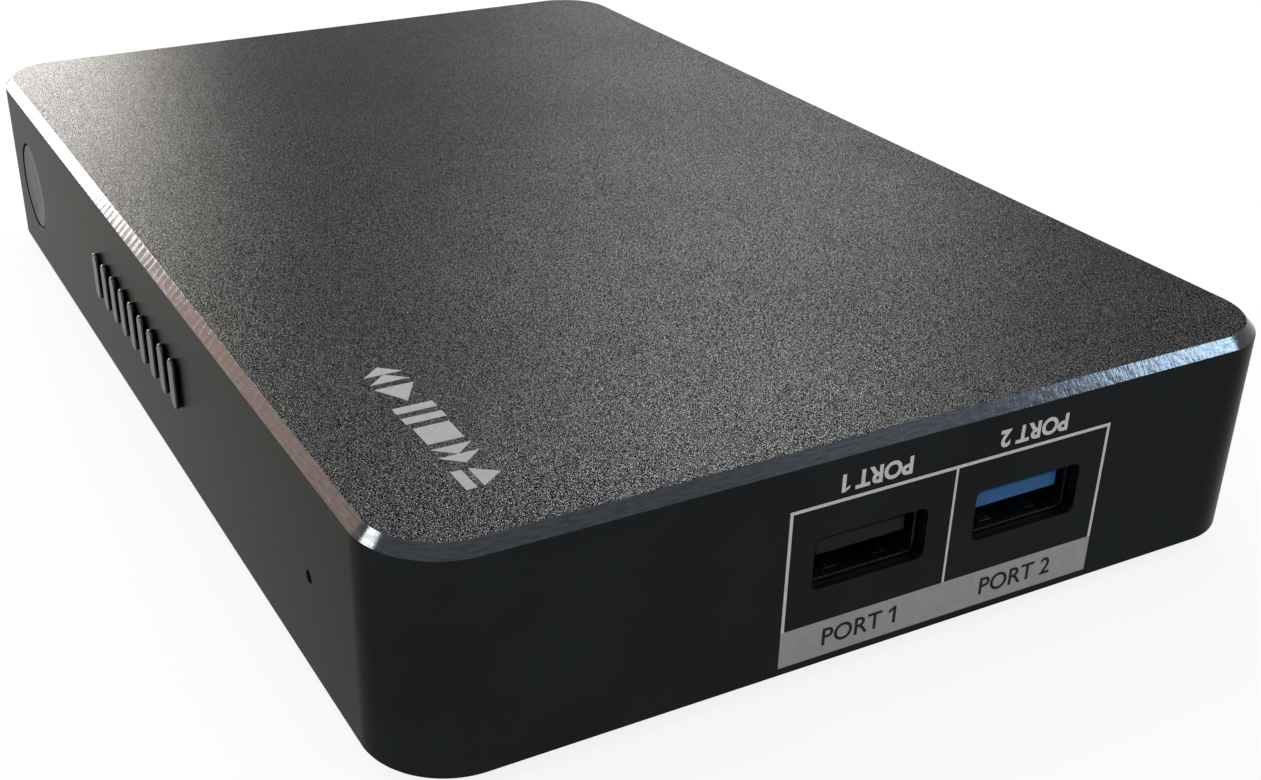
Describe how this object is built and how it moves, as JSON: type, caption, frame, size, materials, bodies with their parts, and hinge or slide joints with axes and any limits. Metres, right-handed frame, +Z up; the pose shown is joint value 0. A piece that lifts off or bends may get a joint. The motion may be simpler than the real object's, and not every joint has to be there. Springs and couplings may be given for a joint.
{
  "type": "media player with hard drive tray",
  "caption": "Compact aluminium media player box with side USB sockets, rear sockets and a sliding tray for a 2.5 inch hard drive.",
  "frame": {"origin": "on the surface that the feet stand on, under the middle of the case", "axes": "+X along the long side, to the right seen from the front, the side of the USB sockets; the front faces -Y; +Z up"},
  "size_m": [0.164, 0.1076, 0.027],
  "materials": {
    "case_metal": "bead-blasted, anodised dark grey, bright cut edge",
    "button_metal": "spun, anodised dark grey",
    "base_plastic": "fine texture",
    "foot_rubber": "matt",
    "badge_gloss": "polished",
    "pipe_smoke": "smoked, clear",
    "lamp_white": "translucent",
    "screw_steel": "zinc plated",
    "black_plastic": "moulded",
    "blue_plastic": "moulded",
    "bezel_plastic": "satin",
    "board_laminate": "solder mask",
    "chip_black": "moulded",
    "heat_metal": "anodised black",
    "pad_grey": "soft",
    "bare_metal": "plain",
    "shell_steel": "nickel plated",
    "contact_gold": "gold plated",
    "cell_steel": "plated",
    "ribbon_film": "film",
    "lead_sheath": "smooth",
    "cage_steel": "zinc plated",
    "cast_metal": "cast"
  },
  "bodies": {
    "case": {"top_case": "case_metal", "base_cover": "base_plastic", "rubber_feet": "foot_rubber", "case_screws": "screw_steel", "badge_bars": "badge_gloss", "button_switch": "black_plastic", "button_board": "board_laminate", "button_bracket": "black_plastic", "button_ribbon": "ribbon_film", "ribbon_plug": "black_plastic", "light_pipe": "pipe_smoke", "status_lamp": "lamp_white", "main_board": "board_laminate", "board_screws": "screw_steel", "main_chip": "chip_black", "heat_pad": "pad_grey", "heat_spreader": "heat_metal", "memory_chips": "chip_black", "storage_chip": "chip_black", "capacitors": "bare_metal", "power_coils": "chip_black", "clock_crystal": "bare_metal", "cell_holder": "black_plastic", "coin_cell": "cell_steel", "usb_two_shell": "shell_steel", "usb_two_tongue": "black_plastic", "usb_two_contacts": "contact_gold", "usb_three_shell": "shell_steel", "usb_three_tongue": "blue_plastic", "usb_three_contacts": "contact_gold", "screen_shell": "shell_steel", "screen_tongue": "black_plastic", "network_socket": "black_plastic", "network_contacts": "contact_gold", "power_socket": "black_plastic", "power_pin": "shell_steel", "optical_socket": "black_plastic", "remote_socket": "black_plastic", "radio_module": "shell_steel", "aerials": "board_laminate", "aerial_leads": "lead_sheath", "drive_socket": "black_plastic", "drive_cage": "cage_steel", "cage_screws": "screw_steel"},
    "button": {"power_button": "button_metal", "switch_plunger": "black_plastic"},
    "shutter": {"optical_shutter": "black_plastic"},
    "tray": {"tray_frame": "black_plastic", "tray_bezel": "bezel_plastic", "bezel_screws": "screw_steel", "drive_housing": "cast_metal", "drive_lid": "bare_metal", "drive_board": "board_laminate", "drive_plug": "black_plastic", "plug_contacts": "contact_gold", "drive_screws": "screw_steel"},
    "handle": {"tray_handle": "button_metal", "handle_pin": "screw_steel"},
    "lock": {"lock_slider": "bezel_plastic"}
  },
  "joints": [
    {"name": "button_press", "type": "slide", "parent": "case", "child": "button", "axis": [0, 1, 0], "range_m": [0, 0.0005], "stiffness_N_per_m": 800, "springref_m": -0.001},
    {"name": "shutter_swing", "type": "hinge", "parent": "case", "child": "shutter", "pos_m": [0.003, 0.0504, 0.01885], "axis": [-1, 0, 0], "range_deg": [0, 80], "stiffness_Nm_per_rad": 0.0002, "springref_deg": -17.19},
    {"name": "tray_slide", "type": "slide", "parent": "case", "child": "tray", "axis": [-1, 0, 0], "range_m": [0, 0.095]},
    {"name": "handle_swing", "type": "hinge", "parent": "tray", "child": "handle", "pos_m": [-0.0804, 0.0201, 0.0146], "axis": [0, 0, -1], "range_deg": [0, 70]},
    {"name": "lock_slide", "type": "slide", "parent": "tray", "child": "lock", "axis": [0, 1, 0], "range_m": [0, 0.0025]}
  ]
}
